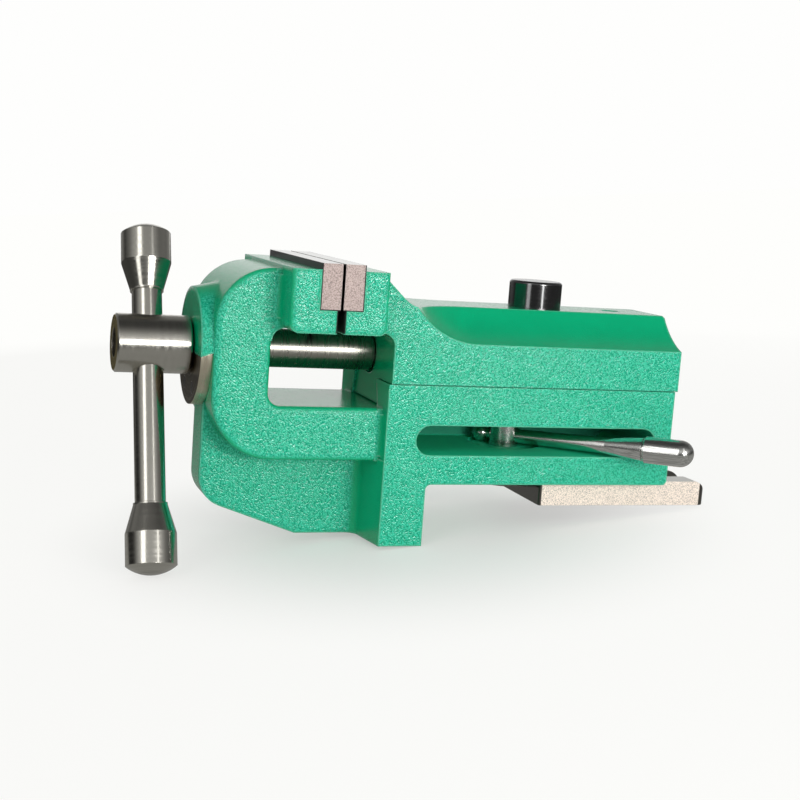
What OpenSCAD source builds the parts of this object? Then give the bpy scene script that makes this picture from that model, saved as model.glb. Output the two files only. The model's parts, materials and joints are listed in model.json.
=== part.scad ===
// Watchmaker's bench vise. The bed turns on a steel plate that is bolted to the bench, and a leg under
// the bed's front hangs over the bench edge. A C-shaped arm in front carries the fixed jaw. The rear jaw
// stands on a slide that runs back along a dovetail when the spindle turns. Sizes are in millimetres.
// +X points to the rear, -Y to the side of the clamp lever, +Z up. The origin is the middle of the
// underside of the swivel plate, and the vise is drawn with its jaws a little open.

/* [Jaws] */
// Width of the jaw blocks and the jaw plates
jaw_width = 75; // [64:0.5:90]
// Thickness of each jaw plate
jaw_plate_thickness = 7.2; // [6:0.1:9]
// Height of each jaw plate
jaw_plate_height = 15.9; // [13:0.1:19]
// How far a jaw plate stands above its block
jaw_plate_rise = 2.2; // [0.5:0.1:3]
// How far a jaw plate stands in front of the ledge under it
jaw_plate_proud = 0.8; // [0.3:0.1:1.5]
// Height of the ledge that carries a jaw plate, above the underside of its block
ledge_height = 8; // [6:0.1:10]
// Metal behind the front jaw plate
front_block_depth = 10; // [9:0.1:13]
// Metal behind the rear jaw plate
rear_block_depth = 9.1; // [8.5:0.1:11]
// Distance from the front of the bed forward to the fixed gripping face
jaw_reach = 22.4; // [21:0.1:24]
// Opening between the jaws as drawn
rest_opening = 1; // [0.4:0.1:4]
// Distance between the two screws of a jaw plate
jaw_screw_spacing = 46; // [36:0.5:56]
// Diameter of a jaw screw
jaw_screw_d = 5; // [4:0.5:6]
// Length of a jaw screw
jaw_screw_length = 14; // [11:0.5:15]

/* [Bed] */
// Width of the bed, the slide and the leg
body_width = 57; // [54:0.5:64]
// Length of the bed and the slide
bed_length = 114; // [110:0.5:126]
// Height of the bed
bed_height = 35.9; // [35:0.1:40]
// Distance from the front of the bed back to the swivel axis
axis_to_front = 57.6; // [56:0.1:62]
// Thickness of the leg, front to back
leg_thickness = 16.4; // [12:0.1:20]
// How far the leg hangs below the bed
leg_depth = 22.6; // [18:0.1:28]
// Width of the dovetail tongue at the top of the bed
dovetail_neck = 26; // [25.5:0.1:29]
// Width of the dovetail tongue at its foot
dovetail_base = 31.8; // [31:0.1:35]
// Depth of the dovetail tongue
dovetail_depth = 9.1; // [8:0.1:10]
// Distance from the front of the bed to the lever slot
slot_from_front = 11.6; // [9:0.1:14]
// Length of the lever slot
slot_length = 95.8; // [90:0.1:97]
// Height of the lever slot
slot_height = 10.8; // [10.5:0.1:12]
// Height of the lever slot above the underside of the bed
slot_lift = 10.7; // [9.5:0.1:12]
// Radius of the small bends of the bed's lower outline
bed_fillet = 2; // [1:0.1:3]

/* [Front arm] */
// Width of the C-shaped arm
arm_width = 46.5; // [45:0.1:52]
// Length of the window between the front limb and the bed
window_length = 42; // [41.5:0.1:48]
// Height of the window
window_height = 27.4; // [26.5:0.1:31]
// Radius of the window's front corners
window_corner = 4.5; // [3:0.1:6]
// Depth of the front limb, front to back
limb_depth = 19.7; // [18:0.1:24]
// Thickness of the lower arm below the window
lower_arm_depth = 19; // [17:0.1:22]
// Radius of the arm's lower front corner
lower_corner = 22; // [18:0.5:24]
// Radius of the arm's upper front corner
upper_corner = 20; // [16:0.5:21]
// How far the top of the arm lies below the top of the jaw block
arm_drop = 1.2; // [0.5:0.1:3]
// Rounding of the arm's long edges
arm_edge = 1.8; // [1:0.1:2.2]
// Width of the keel under the arm
keel_width = 15; // [12:0.5:18]
// Rounding of the keel's edges
keel_edge = 3; // [1.5:0.1:4]
// How far the keel's nose lies behind the front of the limb
keel_setback = 0.1; // [0:0.1:2]
// How far the keel's straight nose reaches below the top of the bed
keel_nose = 37.5; // [35:0.5:40]
// Radius of the keel's lower front corner
keel_corner = 11.5; // [9:0.1:12]
// Slope of the keel's underside in degrees
keel_slope = 19.7; // [17:0.1:24]
// Radius of the hollow where the keel meets the leg
keel_fillet = 4.5; // [3:0.1:6]
// How far the front of the leg bulges forward to the keel
leg_bulge = 2.4; // [1:0.1:4]

/* [Slide] */
// Height of the flat top of the slide above the bed
slide_height = 27.3; // [26:0.1:29]
// Height of the straight sides of the slide
slide_side = 15.2; // [14:0.1:17]
// Width of the flat top of the slide
slide_top_width = 25.4; // [24.5:0.1:28]
// Radius of the hollow along each side of the slide
cove_radius = 32; // [26:0.5:38]
// Distance from the front of the slide to where the hollow's round end begins
cove_start = 32; // [31:0.5:38]
// Slope of the saddle behind the rear jaw in degrees
saddle_slope = 43.2; // [40:0.1:46]
// Radius where the saddle runs out on the flat top
saddle_fillet = 11; // [6:0.5:13]
// How far the saddle starts below the top of the rear jaw block
saddle_drop = 1; // [0.5:0.1:2]
// Radius under the rear jaw block
neck_fillet = 4.4; // [3:0.1:5]
// Distance from the front of the slide to the set screw
set_screw_from_front = 97; // [92:0.5:102]
// Diameter of the set screw
set_screw_d = 6.5; // [5:0.1:8]

/* [Spindle] */
// Diameter of the spindle
spindle_d = 14; // [13.4:0.1:14.6]
// Height of the spindle axis above the bed
spindle_rise = 8.3; // [7.8:0.1:8.6]
// Diameter of the spindle's hub
hub_d = 20.7; // [19:0.1:23]
// Length of the spindle's hub
hub_length = 26; // [25:0.1:30]
// Diameter of the hole in the hub's end
hub_hole_d = 10.5; // [8:0.1:13]
// Thickness of the washer between hub and boss
thrust_washer_thickness = 0.7; // [0.6:0.1:1.5]
// Diameter of the boss on the front limb
boss_d = 41.8; // [38:0.1:42.6]
// How far the boss stands out from the front limb
boss_proud = 4.1; // [2.5:0.1:5]
// Flare of the boss towards the limb in degrees
boss_flare = 13; // [5:1:15]
// How far the spindle's end lies inside the rear of the slide
spindle_inset = 3.9; // [2:0.1:6]
// Wall of the bearing bush
bush_wall = 2; // [1.5:0.1:2.6]

/* [Tommy bar] */
// Diameter of the tommy bar
bar_d = 10.6; // [9:0.1:11.4]
// Distance from the hub's front end to the bar's axis
bar_from_end = 11.8; // [11:0.1:13]
// Free length of the bar between its knobs
bar_free_length = 75.7; // [60:0.1:90]
// Height of the upper knob above the spindle axis, along the bar
bar_rise = 19; // [13:0.1:24]
// Lean of the bar from upright in degrees
bar_lean = 22.5; // [0:0.5:40]
// Diameter of a knob
knob_d = 17.6; // [15:0.1:20]
// Length of a knob's cone
knob_cone = 10.4; // [8:0.1:13]
// Length of a knob's straight part
knob_straight = 11; // [9:0.1:15]
// Height of a knob's blunt end
knob_end = 3.2; // [2:0.1:5]

/* [Clamp lever] */
// Diameter of the lever's hub
lever_hub_d = 11.3; // [10.6:0.1:12.5]
// Height of the lever's hub
lever_hub_height = 10.4; // [9.6:0.1:10.6]
// Height of the lever's axis above the foot of its hub
lever_axis_lift = 3.9; // [3.7:0.1:4.4]
// Turn of the lever toward the open side in degrees
lever_angle = 44; // [40:1:120]
// Upward tilt of the lever in degrees
lever_tilt = 2; // [1:0.1:2.4]
// Length of the lever from the swivel axis to its tip
lever_length = 74; // [66:0.5:82]
// Diameter of the lever's rod at the hub
rod_d = 5.2; // [4.4:0.1:5.6]
// Diameter of the lever's rod where it leaves the slot
rod_mid_d = 6.2; // [5.4:0.1:6.4]
// Diameter of the lever's rod at the grip
rod_end_d = 8.8; // [8:0.1:9.4]
// Diameter of the lever's grip
grip_d = 10; // [9:0.1:11]
// Length of the lever's grip
grip_length = 17.8; // [15:0.1:22]
// Diameter of the ball on the lever's short end
ball_d = 6.8; // [5.6:0.1:7]
// Distance of the ball from the swivel axis
ball_reach = 9.4; // [9:0.1:10.2]

/* [Swivel plate] */
// Length of the swivel plate
plate_length = 71.5; // [66:0.5:80]
// Width of the swivel plate
plate_width = 42; // [38:0.5:50]
// Thickness of the swivel plate
plate_thickness = 9.4; // [8:0.1:12]
// Distance from the swivel axis back to the front of the plate
plate_setback = 7.4; // [5:0.1:9]
// Radius of the plate's rear top edge
plate_rear_edge = 6.5; // [3:0.1:7.5]
// Radius of the plate's front top edge
plate_front_edge = 3.5; // [1:0.1:5]
// Radius of the plate's upright corners
plate_corner = 4; // [2:0.1:6]
// Diameter of the eye around the pivot
eye_d = 19; // [17:0.1:24]
// Thickness of the eye
eye_thickness = 4.6; // [4:0.1:6]
// Width of the plate's open slot
plate_slot_width = 11; // [8:0.5:13]
// Length of the plate's open slot
plate_slot_length = 34; // [20:0.5:42]
// Offset of the plate's open slot toward the lever side
plate_slot_offset = 6; // [0:0.5:7]
// Diameter of the pivot stud in the bed
stud_d = 10; // [9:0.1:12]
// Diameter of the stud's thread in the lever's hub
stud_thread_d = 6; // [5:0.1:6.2]

/* [Quick release] */
// Diameter of the release button
button_d = 20; // [20:0.1:21.8]
// Height of the release button above the slide
button_height = 10.2; // [8:0.1:13]
// How far the button sits in the slide
button_sink = 5.4; // [4.4:0.1:5.6]
// How far the button can be pressed
button_press = 3.4; // [2.4:0.1:3.6]
// Distance from the front of the slide to the button
button_from_front = 64.7; // [60:0.1:68]
// Length of the half nut along the spindle
nut_length = 22; // [16:0.5:26]
// Width of the half nut
nut_width = 21.6; // [21.2:0.1:22]
// Metal of the half nut below the spindle
nut_floor = 4.6; // [3.6:0.1:5]
// Diameter of the pins from the button to the half nut
pin_d = 2.4; // [2:0.1:2.6]
// Outer diameter of the button's spring
spring_d = 11; // [8:0.1:12]

/* [Hidden] */
$fn = 96;
// how far a cut runs past the face that it opens
cut = 1;
// degrees from one axis to the next
quarter_turn = 90;
// clearance between bed and slide
slide_gap = 0.15;
// room under the dovetail tongue
groove_room = 0.4;
// gap between plate and bed
swivel_gap = 0.1;
// radial clearance of turning and sliding fits
running_fit = 0.06;
// end play of turning parts
end_play = 0.06;
// room round the lever's ball and the half nut
free_room = 0.9;
nut_room = 0.3;
// room round the spindle in the slide, in the boss and in the keeper
spindle_room = 1;
boss_room = 0.12;
keeper_room = 0.12;
// the half nut's top lies this far below the spindle axis
nut_split = 0.24;
// closed top of the lever's hub, and room above the stud's end
lever_hub_roof = 1.8;
stud_end_room = 0.6;
// a rounding's arc is drawn slightly past its faces
round_seat = 0.985;
// depth of the turned seat under the lever's hub
seat_depth = 1;
// height of the cone of a screw head, and how far it lies below the surface
head_cone = 2.2;
head_inset = 0.3;
// hexagon socket of a jaw screw
socket_d = 3.4;
socket_depth = 2;
// the boss reaches back into the limb by this share of the limb's upper corner
boss_root_share = 0.28;
// wall of the washer between hub and boss
washer_wall = 1.6;
// keeper: depth of its groove in the spindle, split below the spindle axis, the split's slope, two screws
keeper_groove_depth = 1.6;
keeper_split = 1.7;
keeper_slope = 22;
keeper_screw_d = 2.6;
keeper_screw_head_d = 4.4;
keeper_screw_length = 8;
keeper_screw_y = 7;
keeper_screw_drop = 14.2;
// bevels of turned parts
turned_bevel = 0.6;
hub_bevel = 1.4;
// cone at the mouth of the bar's hole, and of a knob's small end
bar_mouth = 0.7;
knob_lip = 0.6;
// spigots that join knobs, grip and ball to their rods
knob_seat_wall = 2;
spigot_d = 3;
spigot_length = 8;
grip_groove = 1;
grip_groove_depth = 1;
ball_stem_d = 4;
lever_wall = 0.6;
// rounding of the button's top edge, spring recess and spring wire
button_edge = 1.2;
spring_recess = 2.4;
spring_wall = 1.4;
// metal between the nut's cavity and the button's bore
cavity_roof = 1.2;
// how far a pin sits in the button and the half nut, and its room beside the spindle
pin_bite = 3;
pin_gap = 0.4;
// set screw
set_screw_length = 9;
set_screw_inset = 0.4;
set_screw_slot = 1.2;
set_screw_slot_depth = 1.6;
// rounded corners of the jaw blocks
block_corner = 3.4;
block_edge = 1.6;
ear_fillet = 2.2;
// front corners of the swivel plate, seen from above
plate_front_corner = 1.2;
// bevel of the slide's rear top edge
slide_bevel = 0.8;
// height of the stud's countersunk head, which is as much wider than the stud
stud_head_cone = 3;

pivot_x = -(plate_setback + plate_length / 2);
plate_x = pivot_x + plate_setback;
plate_end = plate_x + plate_length;
eye_z = plate_thickness - eye_thickness;
bed_x = pivot_x - axis_to_front;
bed_end = bed_x + bed_length;
bed_z = plate_thickness + swivel_gap;
seam_z = bed_z + bed_height;
leg_z = bed_z - leg_depth;
leg_end = bed_x + leg_thickness;
groove_z = seam_z - dovetail_depth - groove_room;
axis_z = seam_z + spindle_rise;
block_z = groove_z + window_height;
ledge_z = block_z + ledge_height;
jaw_top = ledge_z + jaw_plate_height;
block_top = jaw_top - jaw_plate_rise;
grip_x = bed_x - jaw_reach;
front_seat_x = grip_x - jaw_plate_thickness;
front_block_x = front_seat_x - front_block_depth;
window_x = bed_x - window_length;
arm_x = window_x - limb_depth;
arm_top = block_top - arm_drop;
arm_bottom = groove_z - lower_arm_depth;
boss_x = arm_x - boss_proud;
keeper_z = axis_z - keeper_split;
keeper_back_z = keeper_z + boss_proud * tan(keeper_slope);
keel_x = arm_x + keel_setback;
keel_corner_z = seam_z - keel_nose;
keel_foot_x = keel_x + keel_corner * (1 - sin(keel_slope));
keel_foot_z = keel_corner_z - keel_corner * cos(keel_slope);
keel_flat_x = keel_foot_x + (keel_foot_z - leg_z) / tan(keel_slope);

slide_x = bed_x + rest_opening;
slide_end = slide_x + bed_length;
slide_z = seam_z + slide_gap;
slide_top = seam_z + slide_height;
rear_grip_x = grip_x + rest_opening;
rear_seat_x = rear_grip_x + jaw_plate_thickness;
rear_block_x = rear_seat_x + rear_block_depth;
saddle_foot_x = rear_block_x + (block_top - saddle_drop - slide_top) / tan(saddle_slope);
dovetail_flare = (dovetail_base - dovetail_neck) / 2 / dovetail_depth;
spindle_bore_d = spindle_d + 2 * spindle_room;

hub_end_x = boss_x - thrust_washer_thickness - end_play;
hub_x = hub_end_x - hub_length;
bar_x = hub_x + bar_from_end;
bar_hole_d = bar_d + 2 * running_fit;
hub_socket_x = bar_x + bar_hole_d / 2 + turned_bevel;
spindle_end = slide_end - spindle_inset;
knob_neck_d = bar_d + 2 * knob_lip;
knob_length = knob_cone + knob_straight + knob_end;

slot_z = bed_z + slot_lift;
seat_z = slot_z - seat_depth;
lever_foot_z = seat_z + end_play;
lever_z = lever_foot_z + lever_axis_lift;
pocket_reach = ball_reach + ball_d / 2 + free_room;
stud_bore_d = stud_thread_d + 2 * running_fit;
lever_start = stud_bore_d / 2 + lever_wall;
grip_start = lever_length - grip_length;
slot_wall_run = body_width / 2 / sin(lever_angle);

button_x = slide_x + button_from_front;
button_z = slide_top - button_sink;
button_bore_z = button_z - button_press - nut_room;
cavity_top = button_bore_z - cavity_roof;
nut_top = axis_z - nut_split;
nut_z = axis_z - spindle_d / 2 - nut_floor;
pin_y = spindle_d / 2 + pin_d / 2 + pin_gap;

enamel = [0.20, 0.72, 0.56];
bright_steel = [0.80, 0.80, 0.78];
dark_steel = [0.36, 0.36, 0.35];
bronze = [0.66, 0.50, 0.28];
black = [0.05, 0.05, 0.05];

// Gives a side outline, drawn in x and z, a width across the middle plane.
module across(width) {
    rotate([90, 0, 0])
        translate([0, 0, -width / 2])
            linear_extrude(height = width) children();
}

// Runs a section, drawn in y and z, along X.
module along(x_start, x_end) {
    translate([x_start, 0, 0])
        rotate([90, 0, 90])
            linear_extrude(height = x_end - x_start) children();
}

// A round rod along X through y and z.
module rod(diameter, x_start, x_end, y, z) {
    translate([x_start, y, z])
        rotate([0, 90, 0]) cylinder(d = diameter, h = x_end - x_start);
}

// The corner between two edges and an arc that touches both; way_x and way_z are -1 or 1.
module corner(x, z, radius, way_x, way_z) {
    difference() {
        translate([x + min(0, way_x * radius), z + min(0, way_z * radius)]) square(radius);
        translate([x + way_x * radius, z + way_z * radius]) circle(r = radius);
    }
}

// What rounding takes off an outer corner; it reaches past both edges.
module corner_cut(x, z, radius, way_x, way_z) {
    difference() {
        translate([x - (way_x > 0 ? cut : radius), z - (way_z > 0 ? cut : radius)]) square(radius + cut);
        translate([x + way_x * radius * round_seat, z + way_z * radius * round_seat]) circle(r = radius);
    }
}

// What rounding takes off a straight edge on both sides of a piece. The edge runs from one point to the
// other in x and z, with the metal on its left.
module straight_edge_cut(from, to, width, radius) {
    translate([from[0], 0, from[1]])
        rotate([0, -atan2(to[1] - from[1], to[0] - from[0]), 0])
            along(0, norm(to - from))
                for (side = [-1, 1]) corner_cut(side * width / 2, 0, radius, -side, 1);
}

// The same along a curved edge around a centre; way is -1 for an outer bend and 1 for an inner bend.
module curved_edge_cut(centre, bend, start, sweep, width, radius, way) {
    translate([centre[0], 0, centre[1]])
        rotate([90, 0, 0])
            rotate([0, 0, start])
                rotate_extrude(angle = sweep)
                    for (side = [-1, 1]) corner_cut(bend, side * width / 2, radius, way, -side);
}

// Section of the dovetail, wider by a clearance on each side.
module dovetail_section(top, bottom, clearance) {
    top_half = dovetail_neck / 2 + (seam_z - top) * dovetail_flare + clearance;
    bottom_half = dovetail_neck / 2 + (seam_z - bottom) * dovetail_flare + clearance;
    polygon([[-top_half, top], [-bottom_half, bottom], [bottom_half, bottom], [top_half, top]]);
}

// A countersunk screw along X with its head at x and its way inward, -1 or 1.
module jaw_screw(x, way, y, z) {
    translate([x, y, z])
        rotate([0, 90 * way, 0])
            difference() {
                rotate_extrude()
                    polygon([[0, 0], [jaw_screw_d / 2 + head_cone, 0], [jaw_screw_d / 2, head_cone],
                        [jaw_screw_d / 2, jaw_screw_length], [0, jaw_screw_length]]);
                translate([0, 0, -cut]) cylinder(d = socket_d, h = socket_depth + cut, $fn = 6);
            }
}

// The hole for that screw, open to the face in front of its head.
module jaw_screw_hole(x, way, y, z) {
    translate([x, y, z])
        rotate([0, 90 * way, 0])
            rotate_extrude()
                polygon([[0, -head_inset - cut], [jaw_screw_d / 2 + head_cone, -head_inset - cut],
                    [jaw_screw_d / 2 + head_cone, 0], [jaw_screw_d / 2, head_cone],
                    [jaw_screw_d / 2, jaw_screw_length], [0, jaw_screw_length]]);
}

jaw_screw_z = ledge_z + (jaw_plate_height - jaw_plate_rise) / 2;

// Places what is drawn at the two screws of a jaw plate.
module at_jaw_screws() {
    for (side = [-1, 1])
        translate([0, side * jaw_screw_spacing / 2, 0]) children();
}

module bed_outline() {
    difference() {
        union() {
            translate([bed_x, bed_z]) square([bed_length, bed_height]);
            translate([bed_x, leg_z]) square([leg_thickness, leg_depth]);
            corner(leg_end, bed_z, bed_fillet, 1, -1);
        }
        corner_cut(bed_end, bed_z, bed_fillet, -1, 1);
    }
}

module arm_outline() {
    low_x = arm_x + lower_corner;
    low_z = arm_bottom + lower_corner;
    high_x = arm_x + upper_corner;
    high_z = arm_top - upper_corner;
    difference() {
        union() {
            translate([low_x, arm_bottom]) square([bed_x - low_x, lower_arm_depth]);
            translate([arm_x, low_z]) square([limb_depth, high_z - low_z]);
            translate([high_x, block_z]) square([front_seat_x - high_x, arm_top - block_z]);
            intersection() {
                translate([low_x, low_z]) circle(r = lower_corner);
                translate([arm_x, arm_bottom]) square(lower_corner);
            }
            intersection() {
                translate([high_x, high_z]) circle(r = upper_corner);
                translate([arm_x, high_z]) square(upper_corner);
            }
            translate([window_x, groove_z]) square(window_corner);
            translate([window_x, block_z - window_corner]) square(window_corner);
        }
        translate([window_x + window_corner, groove_z]) square([window_length, window_height]);
        translate([window_x, groove_z + window_corner])
            square([window_length, window_height - 2 * window_corner]);
        translate([window_x + window_corner, groove_z + window_corner]) circle(r = window_corner);
        translate([window_x + window_corner, block_z - window_corner]) circle(r = window_corner);
    }
}

module arm_edge_cuts() {
    low = [arm_x + lower_corner, arm_bottom + lower_corner];
    high = [arm_x + upper_corner, arm_top - upper_corner];
    curved_edge_cut(low, lower_corner, 180, 90, arm_width, arm_edge, -1);
    curved_edge_cut(high, upper_corner, 90, 90, arm_width, arm_edge, -1);
    straight_edge_cut([arm_x, high[1]], [arm_x, low[1]], arm_width, arm_edge);
    straight_edge_cut([low[0], arm_bottom], [bed_x - bed_fillet, arm_bottom], arm_width, arm_edge);
    straight_edge_cut([bed_x - bed_fillet, groove_z], [window_x + window_corner, groove_z],
        arm_width, arm_edge);
    straight_edge_cut([window_x, groove_z + window_corner], [window_x, block_z - window_corner],
        arm_width, arm_edge);
    curved_edge_cut([window_x + window_corner, groove_z + window_corner], window_corner, 180, 90,
        arm_width, arm_edge, 1);
}

module keel_outline() {
    polygon([[bed_x, leg_z], [keel_flat_x, leg_z], [keel_foot_x, keel_foot_z],
        [keel_x + keel_corner, keel_corner_z], [keel_x, keel_corner_z], [keel_x, arm_bottom + lower_corner],
        [bed_x, arm_bottom + lower_corner / 2]]);
    translate([keel_x + keel_corner, keel_corner_z]) circle(r = keel_corner);
}

module keel_edge_cuts() {
    straight_edge_cut([keel_x, arm_bottom + lower_corner / 2], [keel_x, keel_corner_z],
        keel_width, keel_edge);
    curved_edge_cut([keel_x + keel_corner, keel_corner_z], keel_corner, 180, quarter_turn - keel_slope,
        keel_width, keel_edge, -1);
    straight_edge_cut([keel_foot_x, keel_foot_z], [keel_flat_x, leg_z], keel_width, keel_edge);
    straight_edge_cut([keel_flat_x, leg_z], [bed_x - leg_bulge - keel_fillet, leg_z],
        keel_width, keel_edge);
}

// Plan of the leg's bulged front with the hollows on both sides of the keel.
module leg_front_plan() {
    hollow_y = keel_width / 2 + keel_fillet;
    for (side = [-1, 1]) {
        polygon([[bed_x, side * body_width / 2], [bed_x - leg_bulge, side * hollow_y],
            [bed_x - leg_bulge, 0], [bed_x, 0]]);
        corner(bed_x - leg_bulge, side * keel_width / 2, keel_fillet, -1, side);
    }
}

module front_block_outline() {
    difference() {
        translate([front_block_x, block_z])
            square([grip_x - jaw_plate_proud - front_block_x, block_top - block_z]);
        translate([front_seat_x, ledge_z]) square([jaw_plate_thickness + cut, jaw_plate_height]);
        corner_cut(front_block_x, block_z, block_corner, 1, 1);
    }
}

// Upright hollows where the narrower arm runs into the bed and into the front jaw block.
module arm_fillets() {
    for (side = [-1, 1]) {
        translate([0, 0, arm_bottom + arm_edge])
            linear_extrude(height = lower_arm_depth - 2 * arm_edge)
                corner(bed_x, side * arm_width / 2, bed_fillet, -1, side);
        translate([0, 0, block_z + block_corner])
            linear_extrude(height = arm_top - arm_edge - block_z - block_corner)
                corner(front_block_x, side * arm_width / 2, ear_fillet, -1, side);
    }
}

// What rounding takes off the two upright edges of a jaw block's back; way is the way into the block.
module block_edge_cuts(x, way) {
    for (side = [-1, 1])
        translate([0, 0, block_z - cut])
            linear_extrude(height = block_top - block_z + 2 * cut)
                corner_cut(x, side * jaw_width / 2, block_edge, way, -side);
}

// The flared boss above the keeper's sloping split, run back to the limb's upper corner.
module boss() {
    root_x = arm_x + boss_root_share * upper_corner;
    run = root_x - boss_x;
    intersection() {
        translate([boss_x, 0, axis_z])
            rotate([0, 90, 0])
                cylinder(d1 = boss_d, d2 = boss_d + 2 * run * tan(boss_flare), h = run);
        across(arm_width)
            polygon([[boss_x, keeper_z], [arm_x, keeper_back_z], [root_x, keeper_back_z],
                [root_x, axis_z + boss_d], [boss_x, axis_z + boss_d]]);
    }
}

module frame_casting() {
    color(enamel)
        difference() {
            union() {
                across(body_width) bed_outline();
                difference() {
                    across(arm_width) arm_outline();
                    arm_edge_cuts();
                }
                difference() {
                    across(keel_width) keel_outline();
                    keel_edge_cuts();
                    translate([window_x, -keel_width / 2 - cut, groove_z])
                        cube([window_length, keel_width + 2 * cut, window_height]);
                }
                translate([0, 0, leg_z])
                    linear_extrude(height = arm_bottom + cut - leg_z) leg_front_plan();
                difference() {
                    across(jaw_width) front_block_outline();
                    block_edge_cuts(front_block_x, 1);
                }
                arm_fillets();
                boss();
            }
            along(bed_x - cut, bed_end + cut)
                dovetail_section(seam_z + cut, groove_z, slide_gap);
            rod(spindle_d + 2 * bush_wall, arm_x, window_x + cut, 0, axis_z);
            rod(spindle_d + 2 * boss_room, boss_x - cut, arm_x + cut, 0, axis_z);
            lever_pocket();
            translate([pivot_x, 0, bed_z - cut])
                cylinder(d = stud_d + 2 * running_fit, h = seat_z - bed_z + 2 * cut);
            at_jaw_screws()
                jaw_screw_hole(grip_x - head_inset, -1, 0, jaw_screw_z);
            for (side = [-1, 1])
                rod(keeper_screw_d, arm_x - cut, boss_x + keeper_screw_length,
                    side * keeper_screw_y, axis_z - keeper_screw_drop);
        }
}

// The slot in the side of the bed, run inward past the lever's ball, and the turned seat of its hub.
module lever_pocket() {
    radius = slot_height / 2;
    slot_x = bed_x + slot_from_front;
    translate([0, pocket_reach, 0])
        rotate([90, 0, 0])
            linear_extrude(height = pocket_reach + body_width / 2 + cut)
                union() {
                    translate([slot_x + radius, slot_z]) square([slot_length - slot_height, slot_height]);
                    translate([slot_x + radius, slot_z + radius]) circle(r = radius);
                    translate([slot_x + slot_length - radius, slot_z + radius]) circle(r = radius);
                }
    translate([pivot_x, 0, seat_z]) cylinder(r = pocket_reach, h = seat_depth + cut);
}

// A jaw plate from its back to its gripping face, with its screw holes; way is the way inward.
module jaw_plate(x_start, face_x, way) {
    color(bright_steel)
        difference() {
            translate([x_start, -jaw_width / 2, ledge_z])
                cube([jaw_plate_thickness, jaw_width, jaw_plate_height]);
            at_jaw_screws()
                jaw_screw_hole(face_x + way * head_inset, way, 0, jaw_screw_z);
        }
}

module front_jaw_plate() jaw_plate(front_seat_x, grip_x, -1);

module rear_jaw_plate() jaw_plate(rear_grip_x, rear_grip_x, 1);

module front_jaw_screws() {
    color(dark_steel)
        at_jaw_screws() jaw_screw(grip_x - head_inset, -1, 0, jaw_screw_z);
}

module rear_jaw_screws() {
    color(dark_steel)
        at_jaw_screws() jaw_screw(rear_grip_x + head_inset, 1, 0, jaw_screw_z);
}

module spindle_bush() {
    color(bronze)
        difference() {
            rod(spindle_d + 2 * bush_wall, arm_x, window_x, 0, axis_z);
            rod(spindle_d + 2 * running_fit, arm_x - cut, window_x + cut, 0, axis_z);
        }
}

// Half-moon keeper under the spindle; its round edge sits in the spindle's groove.
module retaining_segment() {
    groove_d = spindle_d - 2 * keeper_groove_depth;
    color(dark_steel)
        difference() {
            intersection() {
                rod(boss_d, boss_x, arm_x, 0, axis_z);
                across(2 * boss_d)
                    polygon([[boss_x, keeper_z], [boss_x, axis_z - boss_d], [arm_x, axis_z - boss_d],
                        [arm_x, keeper_back_z]]);
            }
            rod(groove_d + 2 * keeper_room, boss_x - cut, arm_x + cut, 0, axis_z);
            for (side = [-1, 1]) keeper_screw_shape(side, cut);
        }
}

// One countersunk keeper screw, with its head let out past the face by a given run.
module keeper_screw_shape(side, run) {
    cone = (keeper_screw_head_d - keeper_screw_d) / 2;
    translate([boss_x, side * keeper_screw_y, axis_z - keeper_screw_drop])
        rotate([0, 90, 0])
            rotate_extrude()
                polygon([[0, -run], [keeper_screw_head_d / 2, -run], [keeper_screw_head_d / 2, 0],
                    [keeper_screw_d / 2, cone], [keeper_screw_d / 2, keeper_screw_length],
                    [0, keeper_screw_length]]);
}

module retaining_screws() {
    color(bright_steel)
        for (side = [-1, 1]) keeper_screw_shape(side, 0);
}

module slide_outline() {
    reach = saddle_fillet * tan(saddle_slope / 2);
    centre = [saddle_foot_x + reach, slide_top + saddle_fillet];
    polygon([[slide_x, slide_z], [slide_end, slide_z], [slide_end, slide_top - slide_bevel],
        [slide_end - slide_bevel, slide_top], [saddle_foot_x, slide_top],
        [rear_block_x, block_top - saddle_drop], [rear_block_x, block_z], [slide_x, block_z]]);
    corner(slide_x, block_z, neck_fillet, -1, -1);
    difference() {
        polygon([[saddle_foot_x, slide_top], [centre[0], slide_top], centre,
            [saddle_foot_x - reach * cos(saddle_slope), slide_top + reach * sin(saddle_slope)]]);
        translate(centre) circle(r = saddle_fillet);
    }
}

module rear_block_outline() {
    ledge_x = rear_grip_x + jaw_plate_proud;
    difference() {
        translate([ledge_x, block_z]) square([rear_block_x - ledge_x, block_top - block_z]);
        translate([ledge_x - cut, ledge_z])
            square([rear_seat_x - ledge_x + cut, jaw_plate_height]);
        corner_cut(rear_block_x, block_z, block_corner, -1, 1);
    }
}

// The hollow along one side: a long round cut that ends in a ball.
module cove(side) {
    half_top = slide_top_width / 2;
    half_body = body_width / 2;
    run = half_body - half_top;
    fall = slide_height - slide_side;
    chord = norm([run, fall]);
    height = sqrt(cove_radius * cove_radius - chord * chord / 4);
    y = side * ((half_top + half_body) / 2 + height * fall / chord);
    z = seam_z + (slide_height + slide_side) / 2 + height * run / chord;
    rod(2 * cove_radius, slide_x + cove_start, slide_end + cut, y, z);
    translate([slide_x + cove_start, y, z]) sphere(r = cove_radius);
}

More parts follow.
